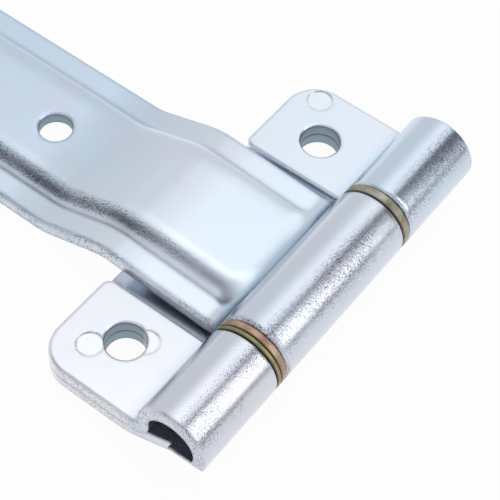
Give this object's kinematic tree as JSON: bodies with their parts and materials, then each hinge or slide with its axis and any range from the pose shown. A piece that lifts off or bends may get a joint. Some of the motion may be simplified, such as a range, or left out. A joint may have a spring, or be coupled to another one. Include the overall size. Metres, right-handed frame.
{
  "type": "strap hinge",
  "caption": "Pressed steel strap hinge for a vehicle body door: a folded butt plate with two eared knuckles, a pin, spacing washers and a long cranked strap with a raised crown.",
  "frame": {"origin": "midway between the two fixing holes of the butt, on its mounting face", "axes": "+X from the strap's tail to the pin, +Y along the pin, +Z away from the door"},
  "size_m": [0.2606, 0.118, 0.0211],
  "materials": {
    "zinc": "bright zinc plate, satin, with faint lilac and blue patches",
    "pin_steel": "dark oiled steel",
    "copper_washer": "coppery, satin",
    "thin_washer": "yellow-green, satin",
    "bronze_washer": "grey-yellow, satin"
  },
  "bodies": {
    "butt": {"butt_plate": "zinc", "hinge_pin": "pin_steel", "washer_near": "copper_washer", "washer_near_thin": "thin_washer", "washer_far": "bronze_washer"},
    "strap": {"strap": "zinc"}
  },
  "joints": [
    {"name": "strap_swing", "type": "hinge", "parent": "butt", "child": "strap", "pos_m": [0.028, 0, 0.01055], "axis": [0, 1, 0], "range_deg": [0, 270]}
  ]
}
